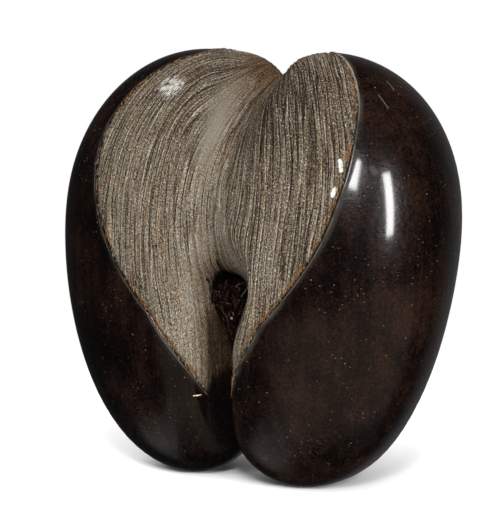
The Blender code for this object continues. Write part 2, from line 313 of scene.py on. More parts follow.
# the hollow that the tuft sits in: a brow above, walls that close to a point below
PIT_BROW = (160.0, 140.0)  # heights where it starts and is full
PIT_FOOT = (98.0, 142.0)  # heights where its walls meet and stand widest
PIT_EASE = 185.0  # height where the right lobe starts to draw back from it
PIT_DEPTH = 13.0
PIT_RIM_HEIGHTS = (104.0, 129.0, 148.0, 160.0)  # its left rim runs up and away from the middle
PIT_RIM_OUT = (-1.0, 9.0, 13.0, 15.0)
PIT_RIM_WIDTH = (-2.0, 9.0)
PIT_RIGHT = (12.5, 4.5)  # where its right wall starts and ends
PIT_WIDENING = 19.0  # how far the right lobe is drawn back
PIT_WALL_X = 18.0
PIT_ANGLES = (-95.0, -75.0, 5.0, 25.0)
# how far the husk fibres close in on the cleft at each angle, from where they run at the front
SWEEP_ANGLES = (0.0, 20.0, 40.0, 60.0, 80.0, 100.0, 130.0, 180.0, 240.0, 300.0, 340.0)
SWEEP = (3.0, 0.0, 6.0, 22.0, 44.0, 68.0, 95.0, 100.0, 60.0, 16.0, 9.0)
SWEEP_START = 24.0  # they keep clear of the middle line by this much
FIBRE_LENGTH_RADIUS = 130.0  # mean radius of the seed, for lengths along a fibre
SIDE_MARK = 300.0  # third number of the fibres' flow, less than 0 on the left
# how far the dark rough fibre runs out over the left lobe's wall in the slit, at each angle;
# painted near black, it is also painted shade in the narrow slit
SLIT_ANGLES = (240.0, 262.0, 276.0, 291.0, 297.5, 302.0, 305.5, 309.0, 316.0)
SLIT_REACH = (0.0, 0.40, 0.72, 0.77, 0.75, 0.73, 0.68, 0.58, 0.0)
SLIT_EASE = (0.03, -0.06)
SLIT_TOP = (78, 60)  # heights where it fades in
# soft marks on the rough face: angle and reach of the middle, then how far each spreads
CALM_LEFT = ((41, 0.30), (29, 0.22))  # worn smooth
CALM_RIGHT = ((20, 0.15), (30, 0.15))
CALM_LOW = ((-12, 0.2), (14, 0.3))
BROWN_TOP = ((88, 0.1), (22, 0.30))
BROWN_CLEFT = ((60, 0.0), (40, 0.12))
# painted light and shade: lighter low on the left lobe's face, darker high on the left lobe and on
# the right lobe's face, as the lamps fall on them
PAINTED_LIGHT_LEFT = ((332, 0.60), (26, 0.36))
PAINTED_SHADE_LEFT = ((68, 0.8), (26, 0.5))
PAINTED_SHADE_RIGHT = ((56, 0.7), (30, 0.6))
# painted shade deep in the cleft at the back
PAINTED_SHADE_BACK = ((180, 0.0), (70, 0.10))
# brown walls under the tuft, darkened also as painted shade, and the dark seat round it, which is
# painted shade of the hollow: where each fades in, measured out from the middle line, up from the
# table or back from the front
WALL_OUT = (17, 9)
WALL_UP = (138, 116)
WALL_BACK = (0, -15)
NEAR_MIDDLE = 144  # height of the brown patch round the tuft, which also paints shade near the hollow
NEAR_SPREAD = (22, 25)
NEAR_FRONT = (-76, -60)
SEAT_UP = (160, 146)
SEAT_DOWN = (117, 135)
SEAT_FRONT = (-61, -45)
SEAT_BACK = (0, -10)
SLIT_FOOT_UP = (92, 64)
SLIT_FOOT_OUT = (15, 8)
RIDGE_SPACING = 3.4
FIBRE_SPACING = 4.3
RIDGE_SIZES = {"Ridge Depth": 0.55, "Strand Depth": 0.55, "Groove Depth": 1.5,
               "Lip Height": 0.35, "Polish Waves": 0.25}
# mesh
FRONT_ROWS = 210
BACK_ROWS = 54
FACE_COLUMNS = 128
BORDER_COLUMNS = 6
SHELL_COLUMNS = 40
BORDER_HALF = 0.02
FRONT_START = -88.0
FRONT_END = 118.0


def around(angle, values):
    """Smooth closed blend that meets the four values a quarter turn apart."""
    front, top, back, bottom = values
    mean = (front + top + back + bottom) / 4
    cross = ((front + back) - (top + bottom)) / 4
    return (mean + (front - back) / 2 * np.cos(angle) + (top - bottom) / 2 * np.sin(angle)
            + cross * np.cos(2 * angle))


def through(angle, stations, values):
    """Smooth closed curve through values given at the station angles."""
    places = np.radians(np.array(stations))
    count = len(places)
    places = np.concatenate([places[-2:] - math.tau, places, places[:3] + math.tau])
    heights = np.array(values)
    heights = np.concatenate([heights[-2:], heights, heights[:3]])
    slopes = np.gradient(heights, places)
    turned = np.mod(angle - places[2], math.tau) + places[2]
    left = np.clip(np.searchsorted(places, turned, side="right") - 1, 2, count + 1)
    span = places[left + 1] - places[left]
    part = (turned - places[left]) / span
    rise = part * part * (3 - 2 * part)
    return (heights[left] * (1 - rise) + heights[left + 1] * rise
            + span * slopes[left] * part * (1 - part) ** 2
            - span * slopes[left + 1] * part * part * (1 - part))


def apart(angle, degrees):
    """Turn between an angle and a named angle, within half a circle."""
    return np.mod(angle - math.radians(degrees) + math.pi, math.tau) - math.pi


def smooth_step(value, start, end):
    """0 at start, 1 at end, eased at both."""
    part = np.clip((value - start) / (end - start), 0, 1)
    return part * part * (3 - 2 * part)


def heel_depth(angle):
    return HEEL_DROP * np.exp(-(apart(angle, HEEL_ANGLE) / math.radians(HEEL_SPREAD)) ** 2)


def crest_outline(angle):
    cosine = np.cos(angle)
    sine = np.sin(angle)
    mean = (CREST_DEPTH_FRONT + CREST_DEPTH_BACK) / 2
    skew = (CREST_DEPTH_FRONT - CREST_DEPTH_BACK) / 2
    y = -(mean * cosine + skew * cosine ** 2) * (1 + DEPTH_TAPER * sine)
    z = WIDEST_HEIGHT + HEIGHT / 2 * sine + (HEIGHT / 2 - WIDEST_HEIGHT) * sine ** 2
    return around(angle, CREST_X), y, z - heel_depth(angle)


def medial_outline(angle):
    z = around(angle, MEDIAL_Z)
    return around(angle, MEDIAL_Y) - LEAN * (z - WIDEST_HEIGHT), z


def outer_quarter(angle, reach, crest):
    """From the crest of a lobe round its side to the pole."""
    turn = np.clip(reach - 1, 0, 1) * math.pi / 2
    shrink = np.cos(turn) * (1 + SIDE_FULLNESS * np.sin(turn) ** 2)
    x = crest[0] + (SIDE_POLE[0] - crest[0]) * np.sin(turn)
    y = SIDE_POLE[1] + (crest[1] - SIDE_POLE[1]) * shrink
    heel = heel_depth(angle)
    z = SIDE_POLE[2] + (crest[2] + heel - SIDE_POLE[2]) * shrink - heel * shrink ** HEEL_FALLOFF
    return x, y, z


def valley(angle, reach, crest, floor, curve):
    """From the crest down into the valley: distance out and depth below the crest."""
    slope = np.radians(around(angle, VALLEY_ANGLE))
    wall = around(angle, VALLEY_WALL)
    rest = floor - wall * np.sin(slope)
    arm = np.minimum(np.sqrt(2 / 3 * np.maximum(rest, 1.0) / curve), 0.55 * crest)
    part = 1 - np.clip(reach, 0, 1)
    first = (1 - part) ** 3
    second = 3 * part * (1 - part) ** 2
    third = 3 * part ** 2 * (1 - part)
    out = first * crest + second * (crest - arm) + third * wall * np.cos(slope)
    return out, third * rest + part ** 3 * floor


def slit(reach, crest, floor, curve):
    """The lobe's rounded lip, then the straight wall of the slit."""
    part = 1 - np.clip(reach, 0, 1)
    half = crest - SLIT_GAP
    lip = np.minimum(SLIT_ROUND * half ** 2 * curve, 0.85 * floor)
    share = math.pi / 2 * lip / (math.pi / 2 * lip + floor - lip)
    turn = np.minimum(part / share, 1) * math.pi / 2
    wall = np.clip((part - share) / (1 - share), 0, 1)
    out = crest - half * np.sin(turn) - SLIT_GAP * wall ** 4
    return out, lip * (1 - np.cos(turn)) + (floor - lip) * wall


def seed_half(angle, reach, hollow):
    """Point of one half, with the right (1) or left (-1) side of the tuft's hollow, or none (0)."""
    crest = crest_outline(angle)
    floor_y, floor_z = medial_outline(angle)
    across = crest[1] - floor_y
    upward = crest[2] - floor_z
    floor = np.hypot(across, upward)
    pole = np.hypot(crest[1] - SIDE_POLE[1], crest[2] - SIDE_POLE[2])
    curve = pole / (SIDE_POLE[0] - crest[0]) ** 2 * (1 - 2 * SIDE_FULLNESS)
    open_x, open_depth = valley(angle, reach, crest[0], floor, curve)
    shut_x, shut_depth = slit(reach, crest[0], floor, curve)
    share = np.clip(around(angle, SLIT_SHARE), 0, 1)
    x = open_x + (shut_x - open_x) * share
    depth = open_depth + (shut_depth - open_depth) * share
    sink = 0
    if hollow:
        turn = np.degrees(apart(angle, 0))
        height = crest[2] - upward / floor * depth
        within = (smooth_step(turn, PIT_ANGLES[0], PIT_ANGLES[1])
                  * smooth_step(turn, PIT_ANGLES[3], PIT_ANGLES[2]))
        rim = np.interp(height, PIT_RIM_HEIGHTS, PIT_RIM_OUT)
        if hollow < 0:
            sunk = smooth_step(rim - x, *PIT_RIM_WIDTH)
        else:
            sunk = smooth_step(rim, *PIT_RIM_WIDTH) * smooth_step(x, *PIT_RIGHT)
            foot = np.clip((height - PIT_FOOT[0]) / (PIT_FOOT[1] - PIT_FOOT[0]), 0, 1) ** 1.5
            pulled = (within * smooth_step(height, PIT_EASE, PIT_BROW[1]) * foot
                      * smooth_step(reach, 1.0, 0.5))
            wide = x / PIT_WALL_X
            x = x + PIT_WIDENING * pulled * wide * np.exp(0.5 - 0.5 * wide ** 2)
        sink = PIT_DEPTH * within * sunk * smooth_step(height, *PIT_BROW)
    side = outer_quarter(angle, reach, crest)
    outer = reach > 1
    x = np.where(outer, side[0], x)
    y = np.where(outer, side[1], crest[1] - across / floor * depth + sink)
    z = np.where(outer, side[2], crest[2] - upward / floor * depth)
    return np.stack([x, y + LEAN * (z - WIDEST_HEIGHT), z], axis=-1)


def seed_point(angle, reach, side):
    """Point of the seed in metres; side is 1 on the right and -1 on the left."""
    point = seed_half(angle, reach, side)
    x = point[..., 0] * side
    drift = through(angle, CLEFT_ANGLES, CLEFT_DRIFT) * np.exp(-(x / CLEFT_WIDTH) ** 2)
    return np.stack([x + drift, point[..., 1] - ORIGIN_Y, point[..., 2]], axis=-1) / 1000


def border_reach(angle, side):
    return through(angle, FACE_ANGLES, RIGHT_REACH if side > 0 else LEFT_REACH)


def half_reaches(angles, side):
    """Reaches of every row: close over the rough face and closer at its border."""
    rows = []
    for border in border_reach(angles, side):
        face = np.linspace(0, border - BORDER_HALF, FACE_COLUMNS + 1)[1:]
        edge = np.linspace(border - BORDER_HALF, border + BORDER_HALF, BORDER_COLUMNS + 1)[1:]
        shell = np.linspace(border + BORDER_HALF, 2, SHELL_COLUMNS + 1)[1:-1]
        rows.append(np.concatenate([face, edge, shell]))
    return np.array(rows)


def fibre_flow(angle, reach, side):
    """Place across and along the husk fibres, millimetres."""
    out = seed_half(angle, reach, 0)[..., 0]
    held = np.clip(out / SWEEP_START, 0, 1)
    free = held * held * (3 - 2 * held)
    across = out + through(angle, SWEEP_ANGLES, SWEEP) * free
    along = FIBRE_LENGTH_RADIUS * (np.mod(angle + math.pi, math.tau) - math.pi)
    return np.stack([across, along, SIDE_MARK * side + 0 * across], axis=-1)


def patch(angle, reach, place, spread):
    """Soft spot round an angle and reach."""
    turn = apart(angle, place[0]) / math.radians(spread[0])
    return np.exp(-turn ** 2 - ((reach - place[1]) / spread[1]) ** 2)


def slit_reach(angle):
    return np.interp(np.mod(np.degrees(angle), 360), SLIT_ANGLES, SLIT_REACH)


def half_marks(angle, reach, side, points):
    """What the finish needs to know at every point of one half."""
    steps = np.linalg.norm(np.diff(points, axis=1), axis=-1) * 1000
    length = np.concatenate([np.zeros((len(points), 1)), np.cumsum(steps, axis=1)], axis=1)
    last = FACE_COLUMNS + BORDER_COLUMNS // 2 - 1
    out = np.abs(points[..., 0]) * 1000
    ahead = points[..., 1] * 1000
    level = points[..., 2] * 1000
    # pale is painted light and shade on the face, lighter low on the left and darker high on both
    # lobes
    if side < 0:
        calm = patch(angle, reach, *CALM_LEFT)
        pale = 1.3 * patch(angle, reach, *PAINTED_LIGHT_LEFT) - 1.4 * patch(angle, reach, *PAINTED_SHADE_LEFT)
        far = slit_reach(angle)
        slit_wall = smooth_step(reach, far + SLIT_EASE[0], far + SLIT_EASE[1])
    else:
        calm = 0.4 * patch(angle, reach, *CALM_RIGHT)
        pale = -2.6 * patch(angle, reach, *PAINTED_SHADE_RIGHT)
        slit_wall = 0 * out
    brown = patch(angle, reach, *BROWN_TOP) + 0.3 * patch(angle, reach, *BROWN_CLEFT)
    # brown fibre of the walls under the tuft and round it, darkened also as painted shade of the
    # hollow
    wall = (smooth_step(out, *WALL_OUT) * smooth_step(level, *WALL_UP)
            * smooth_step(ahead, *WALL_BACK))
    near_brown_and_shade = np.exp(-(out / NEAR_SPREAD[0]) ** 2 - ((level - NEAR_MIDDLE) / NEAR_SPREAD[1]) ** 2)
    near_brown_and_shade = near_brown_and_shade * smooth_step(ahead, *NEAR_FRONT)
    # painted shade: darker in the hollow round the tuft, deep in the cleft at the back and at the
    # foot of the slit
    seat = (smooth_step(level, *SEAT_UP) * smooth_step(level, *SEAT_DOWN)
            * smooth_step(ahead, *SEAT_FRONT) * smooth_step(ahead, *SEAT_BACK))
    dark = (patch(angle, reach, *PAINTED_SHADE_BACK)
            + smooth_step(level, *SLIT_FOOT_UP) * smooth_step(out, *SLIT_FOOT_OUT))
    return {"edge": length[:, last:last + 1] - length,  # millimetres in from the border
            "calm": calm + 0.5 * patch(angle, reach, *CALM_LOW),
            "brown": brown,
            "wall": np.maximum(wall, 0.85 * near_brown_and_shade),
            "dark": np.clip(seat + dark, 0, 1),
            "pale": pale,
            "slit": slit_wall * smooth_step(level, *SLIT_TOP)}


def seed_shell():
    """The seed as a fine closed mesh with its marks."""
    front = np.linspace(FRONT_START, FRONT_END, FRONT_ROWS + 1)[:-1]
    back = np.linspace(FRONT_END, FRONT_START + 360, BACK_ROWS + 1)[:-1]
    angles = np.radians(np.concatenate([front, back]))
    rows = len(angles)
    points = [seed_point(angles, 0 * angles, 1)]
    flows = [fibre_flow(angles, 0 * angles, 0)]
    marks = []
    for side in (1, -1):
        reaches = half_reaches(angles, side)
        turned = angles[:, None] + 0 * reaches
        body = seed_point(turned, reaches, side)
        points.append(body.reshape(-1, 3))
        flows.append(fibre_flow(turned, reaches, side).reshape(-1, 3))
        marks.append(half_marks(turned, reaches, side, body))
    for side in (1, -1):
        points.append(seed_point(angles[:1], np.array([2.0]), side))
        flows.append(fibre_flow(angles[:1], np.array([2.0]), side))
    columns = reaches.shape[1]
    mesh = bpy.data.meshes.new("nut")
    faces = half_rings(0, rows, columns) + half_rings(1, rows, columns)
    mesh.from_pydata(np.concatenate(points).tolist(), [], faces)
    flow = mesh.attributes.new("flow", "FLOAT_VECTOR", "POINT")
    flow.data.foreach_set("vector", np.concatenate(flows).astype(np.float32).ravel())
    for name in marks[0]:
        first = (marks[0][name][:, 0] + marks[1][name][:, 0]) / 2
        ends = [mark[name][:1, -1] for mark in marks]
        values = np.concatenate([first] + [mark[name].ravel() for mark in marks] + ends)
        store = mesh.attributes.new(name, "FLOAT", "POINT")
        store.data.foreach_set("value", values.astype(np.float32))
    return mesh


def half_rings(half, rows, columns):
    """Quads and end fans of one half, facing outwards; half is 0 on the right, 1 on the left."""
    first = rows + half * rows * columns
    pole = rows + 2 * rows * columns + half
    faces = []
    for row in range(rows):
        follow = (row + 1) % rows
        here = [row] + list(range(first + row * columns, first + (row + 1) * columns))
        there = [follow] + list(range(first + follow * columns, first + (follow + 1) * columns))
        for step in range(columns):
            faces.append([here[step], there[step], there[step + 1], here[step + 1]])
        faces.append([here[-1], there[-1], pole])
    return faces if half else [face[::-1] for face in faces]


def start_growth(name, sizes):
    """A geometry tree with a named input for each size; gives bench, input wires and group."""
    group = bpy.data.node_groups.new(name, "GeometryNodeTree")
    group.interface.new_socket("Geometry", in_out="INPUT", socket_type="NodeSocketGeometry")
    group.interface.new_socket("Geometry", in_out="OUTPUT", socket_type="NodeSocketGeometry")
    for size, value in sizes.items():
        kind = "NodeSocketInt" if isinstance(value, int) else "NodeSocketFloat"
        group.interface.new_socket(size, in_out="INPUT", socket_type=kind)
    bench = Bench(group)
    first = bench.node("NodeGroupInput")
    outputs = first.socket.node.outputs
    wires = {"Geometry": first}
    for size in sizes:
        wires[size] = Wire(bench, outputs[size])
    return bench, wires, group


def close_growth(geometry, finish):
    """Make everything real, give it its finish and hand it out."""
    bench = geometry.bench
    real = bench.node("GeometryNodeRealizeInstances", {}, [geometry])
    done = bench.node("GeometryNodeSetMaterial", {}, {"Geometry": real, "Material": finish})
    bench.node("NodeGroupOutput", {}, [done])


def grow(name, mesh, group, sizes):
    """Run a geometry tree on a mesh and keep the plain mesh that it makes."""
    item = bpy.data.objects.new(name, mesh)
    bpy.context.scene.collection.objects.link(item)
    growth = item.modifiers.new("growth", "NODES")
    growth.node_group = group
    for entry in group.interface.items_tree:
        if entry.in_out == "INPUT" and entry.name in sizes:
            growth[entry.identifier] = sizes[entry.name]
    item.update_tag()
    graph = bpy.context.evaluated_depsgraph_get()
    made = bpy.data.meshes.new_from_object(item.evaluated_get(graph), depsgraph=graph)
    item.modifiers.clear()
    item.data = made
    made.name = name
    return item


def named(bench, name, kind="FLOAT"):
    return bench.node("GeometryNodeInputNamedAttribute", {"data_type": kind}, {"Name": name})


def drawn(run, wide, long, shift, detail=2.0, roughness=0.5):
    """Soft grain drawn out along the fibres: its width, its length and its own shift."""
    across, along, side = run
    place = across.bench.vector(across / wide, along / long, side + shift)
    return place.grain(1.0, detail, roughness)


def husk_fibres(bench, place, flow):
    """The fibres' wandering run, their broad ridges and their single strands."""
    across, along, side = flow.parts()
    wander = drawn((across, along, side), 14.0, 80.0, 20.0, 1.0)
    jitter = place.grain(420.0, 1.0)
    across = across + (wander - 0.5) * 4.0 + (jitter - 0.5) * 0.5
    run = (across, along, side)
    ridges = drawn(run, RIDGE_SPACING, 110.0, 0.0, 1.0)
    phase = across / FIBRE_SPACING + drawn(run, 30.0, 90.0, 30.0, 1.0) * 3.0
    whole = phase.work("FLOOR")
    shown = bench.vector(whole * 3.7, along / 38.0, side + 40.0)
    shown = shown.grain(1.0, 2.0, 0.6).ease(0.36, 0.62)
    return run, ridges, phase - whole, shown


def ridge_tree(finish):
    """Raises the husk ridges, sinks the groove along the border and rounds the shell's lip."""
    bench, wire, group = start_growth("husk ridges", RIDGE_SIZES)
    position = bench.node("GeometryNodeInputPosition")
    flow = named(bench, "flow", "FLOAT_VECTOR")
    ridges, part, shown = husk_fibres(bench, position, flow)[1:]
    edge = named(bench, "edge")
    calm = named(bench, "calm").least(1.0)
    face = edge.ease(0.6, 3.5)
    strong = face * (1.0 - calm * 0.75)
    ridges = ((ridges.ease(0.34, 0.66) - 0.5) * wire["Ridge Depth"]
              + (part.bump(0.5, 0.5) - 0.5) * shown * wire["Strand Depth"])
    bordered = 1.0 - named(bench, "slit")
    groove = edge.bump(0.35, 1.5) * wire["Groove Depth"] * bordered
    lip = edge.bump(-1.3, 1.7) * wire["Lip Height"] * bordered
    waves = (position.grain(22.0, 2.0) - 0.5) * wire["Polish Waves"]
    lift = (ridges * strong - groove + lip + waves * (1.0 - face) - face * 0.35) * 0.001
    normal = bench.node("GeometryNodeInputNormal")
    moved = bench.node("GeometryNodeSetPosition", {},
                       {"Geometry": wire["Geometry"], "Offset": normal.stretch(lift)})
    x, y, z = bench.node("GeometryNodeInputPosition").parts()
    down = bench.vector(x, y, z.most(0.0))
    stood = bench.node("GeometryNodeSetPosition", {}, {"Geometry": moved, "Position": down})
    smooth = bench.node("GeometryNodeSetShadeSmooth", {}, {"Geometry": stood})
    close_growth(smooth, finish)
    return group


# finish of the rough face, then its border, then the shell
FACE_DARK = (0.008, 0.006, 0.004)
FACE_BROWN = (0.052, 0.038, 0.026)
FACE_GREY = (0.125, 0.103, 0.076)
FACE_PALE = (0.205, 0.176, 0.135)
FACE_GLINT = (0.330, 0.300, 0.250)
WARM_STAIN = (1.05, 0.86, 0.66)
CALM_STAIN = (0.95, 1.03, 1.14)
BROWN_STAIN = (0.72, 0.50, 0.33)
# brown of the walls under the tuft, darker also as painted shade
WALL_BROWN_AND_SHADE = (0.36, 0.25, 0.15)
# painted shade, multiplied in by the dark mark
SHADE_TINT = (0.03, 0.02, 0.02)
FLECK = (0.36, 0.35, 0.32)
FLECK_PLACE = (-0.0487, -0.0387, 0.2766)  # a painted highlight: a bright glint patch on the left lobe
# dark splits above the tuft
CRACKS = (((-0.0096, -0.0577, 0.1467), (-0.0062, -0.0520, 0.1390)),
          ((-0.0010, -0.0590, 0.1600), (-0.0026, -0.0465, 0.1490)))
CUT_ORANGE = (0.155, 0.075, 0.028)
CUT_BROWN = (0.040, 0.018, 0.008)
RIGHT_SPARED = (0.208, 0.034)  # height and half width where the right border isn't cut
LEFT_SPARED = (0.252, 0.266)  # heights above which the left one isn't
LEFT_CUT = (0.243, 0.016)  # and where it is cut most
GROOVE_BLACK = (0.006, 0.004, 0.003)
SLIT_BLACK = (0.0012, 0.0008, 0.0007)
# painted highlights: bright glints on the right border
GLINTS = (((0.0908, -0.0563, 0.2338), (0.0926, -0.0580, 0.2275)),
          ((0.0904, -0.0631, 0.2155), (0.0893, -0.0645, 0.2115)))
GLINT = (0.62, 0.60, 0.56)
SHELL_BLACK = (0.0010, 0.0006, 0.0005)
SHELL_RED = (0.0215, 0.0088, 0.0052)
SPECK = (0.22, 0.19, 0.15)
# painted sheen along the shell's lip, and the lip's pale line, partly a painted highlight
LIP_SHEEN = (0.052, 0.050, 0.044)
LIP_PALE_AND_HIGHLIGHT = (0.060, 0.050, 0.040)
BARE = (0.210, 0.180, 0.140)
BARE_HEIGHTS = (0.262, 0.284)  # where the right lip starts to be rubbed bare, and is
# a pale scratch beside the slit
DASH_ENDS = ((-0.0180, -0.0680, 0.0652), (-0.0128, -0.0585, 0.0650))
DASH = (0.50, 0.45, 0.38)
# two knocks high on the right lobe
SCRATCHES = (((0.0991, -0.0018, 0.2829), (0.1058, -0.0049, 0.2773)),
             ((0.1007, -0.0184, 0.2747), (0.1089, -0.0210, 0.2665)))
# a dull thumb mark between the gleams
SMUDGE_ENDS = ((0.1108, -0.0487, 0.2289), (0.1126, -0.0486, 0.2265))


def gap(place, other):
    """Distance between two points of the seed, metres."""
    settings = {"operation": "DISTANCE"}
    return place.bench.node("ShaderNodeVectorMath", settings, [place, other], output=1)


def gap_to_line(place, ends):
    """Distance from the line between two points."""
    bench = place.bench
    way = np.array(ends[1]) - np.array(ends[0])
    gone = bench.node("ShaderNodeVectorMath", {"operation": "SUBTRACT"}, [place, ends[0]])
    share = bench.node("ShaderNodeVectorMath", {"operation": "DOT_PRODUCT"},
                       [gone, tuple(way / (way @ way))], output=1)
    return gap(gone, share.most(0.0).least(1.0).stretch(tuple(way)))


def gap_to_lines(place, lines):
    """Distance from the nearer of two lines."""
    first, second = [gap_to_line(place, ends) for ends in lines]
    return first.least(second)


def specks(place, fineness, size, crowd):
    """Small round dots, more of them where the crowd is high."""
    inputs = {"Vector": place, "Scale": fineness}
    dot = place.bench.node("ShaderNodeTexVoronoi", {}, inputs, output="Distance")
    chance = Wire(place.bench, dot.socket.node.outputs["Color"]).parts()[0]
    return dot.ease(*size) * (chance + crowd).ease(1.0, 1.01)


def read_mark(bench, name, output="Fac"):
    return bench.node("ShaderNodeAttribute", {"attribute_name": name}, output=output)


def seed_finish():
    constants = {"IOR": 1.5, "Specular IOR Level": 0.07, "Coat Roughness": 0.10, "Coat IOR": 1.34}
    finish, bench, shader = new_finish("seed", constants)
    place = bench.node("ShaderNodeTexCoord", output="Object")
    flow = read_mark(bench, "flow", "Vector")
    run, ridges, part, shown = husk_fibres(bench, place, flow)
    names = ("edge", "calm", "brown", "wall", "pale", "dark", "slit")
    edge, calm, brown, wall, light, dark, slit_wall = [read_mark(bench, name) for name in names]
    calm = calm.least(1.0)
    wall = wall.least(1.0)
    # rough face: broad bands, thin dark grooves, thin pale fibres and grit
    band = drawn(run, 9.0, 70.0, 3.0)
    seam = drawn(run, 1.7, 80.0, 6.0, 1.0)
    grit = drawn(run, 0.7, 1.4, 5.0, 2.0, 0.8)
    broken = drawn(run, 3.0, 16.0, 15.0).ease(0.30, 0.60)
    # dark and pale lines lie in pairs: partly grooves and pale fibres, partly painted shade and
    # painted light on the two sides of each ridge
    groove = (part.bump(0.66, 0.15) * shown + ridges.bump(0.45, 0.060) * 0.55
              + seam.bump(0.45, 0.08) * 0.4 * broken)
    pale = (part.bump(0.46, 0.13) * shown + ridges.bump(0.53, 0.055) * 0.5
            + seam.bump(0.56, 0.08) * 0.3)
    rough = (1.0 - calm * 0.92) * (1.0 - wall * 0.55) * (1.0 - light.most(0.0) * 0.6)
    gaps = drawn(run, 1.8, 11.0, 70.0, 2.0, 0.6).ease(0.60, 0.70)
    tone = ((band - 0.5) * 0.25 - groove * 0.36 + pale * 0.27 - gaps * 0.26) * rough
    crumbs = place.grain(1000.0, 1.0, 0.6)
    tone = tone + ((crumbs.ease(0.58, 0.70) * 0.36 - crumbs.ease(0.42, 0.30) * 0.38)
                   * (1.0 - calm * 0.85))
    # light, the pale mark, is painted light and shade
    tone = tone + (grit - 0.5) * (1.5 - calm) + 0.45 + calm * 0.125 + light * 0.10
    face = bench.ramp(tone, [(0.10, FACE_DARK), (0.34, FACE_BROWN), (0.55, FACE_GREY),
                             (0.75, FACE_PALE), (0.97, FACE_GLINT)])
    warm = drawn(run, 5.0, 40.0, 12.0).ease(0.45, 0.75)
    strands = drawn(run, 1.3, 9.0, 90.0, 2.0, 0.6)
    # painted shade in the hollow round the tuft, in the cleft and at the slit's foot, broken by
    # strands
    painted_shade = (dark + (strands - 0.5) * 1.3).ease(0.22, 0.62)
    for share, stain in ((warm * 0.6, WARM_STAIN), (calm * 0.8, CALM_STAIN),
                         (brown.least(1.0) * 0.85, BROWN_STAIN), (wall * 0.9, WALL_BROWN_AND_SHADE),
                         (painted_shade * 0.92, SHADE_TINT)):
        face = bench.tint(share, face, stain, "MULTIPLY")
    # painted highlight: a bright glint patch on the left lobe, along the fibre streaks
    glint_patch = gap(place, FLECK_PLACE) + place.grain(260.0, 2.0) * 0.012
    streak = drawn(run, 1.1, 5.0, 50.0, 2.0, 0.6)
    face = bench.tint(glint_patch.ease(0.018, 0.011) * streak.ease(0.44, 0.56), face, FLECK)
    # shell: near black, with reddish clouds, faint upright streaks, specks and scratches
    lobe = run[2] / SIDE_MARK  # 1 on the right, -1 on the left
    cloud = place.grain(26.0, 4.0, 0.6)
    upright = place.stretch((150.0, 150.0, 12.0)).grain(1.0, 3.0, 0.6)
    mottle = place.grain(600.0, 2.0, 0.7)
    red = ((cloud - 0.5) * 1.25 + (upright - 0.5) * 0.7 + (mottle - 0.5) * 1.4 + 0.15
           + lobe * 0.06)
    shell = bench.tint(red.ease(-0.1, 1.05), SHELL_BLACK, SHELL_RED)
    crowd = place.grain(14.0, 2.0).ease(0.35, 0.75, 0.05, 0.26)
    speck = specks(place, 300.0, (0.15, 0.07), crowd)
    shell = bench.tint(speck * 0.6, shell, SPECK)
    dash = gap_to_line(place, DASH_ENDS) + (mottle - 0.5) * 0.0006
    shell = bench.tint(dash.ease(0.0006, 0.0002), shell, DASH)
    knock = gap_to_lines(place, SCRATCHES) + (mottle - 0.5) * 0.0004
    shell = bench.tint(knock.ease(0.0006, 0.0002) * 0.22, shell, SPECK)
    smudge = gap_to_line(place, SMUDGE_ENDS) + (crumbs - 0.5) * 0.002
    shell = bench.tint(smudge.ease(0.0030, 0.0010) * 0.10, shell, SPECK)
    crowd = place.grain(20.0, 2.0).ease(0.40, 0.70, 0.02, 0.16)
    dust = specks(place, 560.0, (0.22, 0.12), crowd)
    shell = bench.tint(dust * 0.45, shell, SPECK)
    # border: ragged cut fibres, a dark groove and the shell's lip, with a painted sheen and a pale
    # line that is partly painted highlight
    level = place.parts()[2]
    ragged = edge + (place.grain(300.0, 3.0, 0.7) - 0.5) * 4.0
    right = lobe / 2.0 + 0.5
    left = 1.0 - right
    spared = right * level.bump(*RIGHT_SPARED) * 0.75 + left * level.ease(*LEFT_SPARED) * 0.8
    fresh = place.grain(45.0, 2.0).ease(0.38, 0.60) + left * level.bump(*LEFT_CUT)
    cut = ragged.ease(4.6, 1.0) * (1.0 - spared) * fresh.least(1.0)
    cut_colour = bench.tint(crumbs.ease(0.40, 0.62), CUT_BROWN, CUT_ORANGE)
    face = bench.tint(cut * 0.9, face, cut_colour)
    notch = ragged.ease(4.4, 1.4) * place.grain(260.0, 2.0, 0.6).ease(0.56, 0.63)
    face = bench.tint(notch * 0.85, face, GROOVE_BLACK)
    # painted highlights on the right border
    painted_glint = gap_to_lines(place, GLINTS) + (crumbs - 0.5) * 0.0024
    face = bench.tint(painted_glint.ease(0.0017, 0.0008) * 0.85, face, GLINT)
    split = gap_to_lines(place, CRACKS) + (crumbs - 0.5) * 0.0014
    face = bench.tint(split.ease(0.0014, 0.0005), face, SLIT_BLACK)
    # painted sheen along the shell's lip, stronger on the right lobe
    painted_lip_sheen = (edge.bump(-2.6, 3.6) * (lobe * 0.09 + 0.22)
            * place.grain(50.0, 3.0).ease(0.30, 0.65))
    shell = bench.tint(painted_lip_sheen, shell, LIP_SHEEN)
    # pale line on the lip: partly lighter worn shell, partly a painted highlight of its rounding
    lip = edge.bump(-1.7, 0.9) * place.grain(90.0, 2.0).ease(0.30, 0.60)
    shell = bench.tint(lip, shell, LIP_PALE_AND_HIGHLIGHT)
    bare = edge.bump(-0.7, 1.5) * level.ease(*BARE_HEIGHTS) * lobe * crumbs.ease(0.30, 0.50)
    shell = bench.tint(bare * 0.9, shell, BARE)
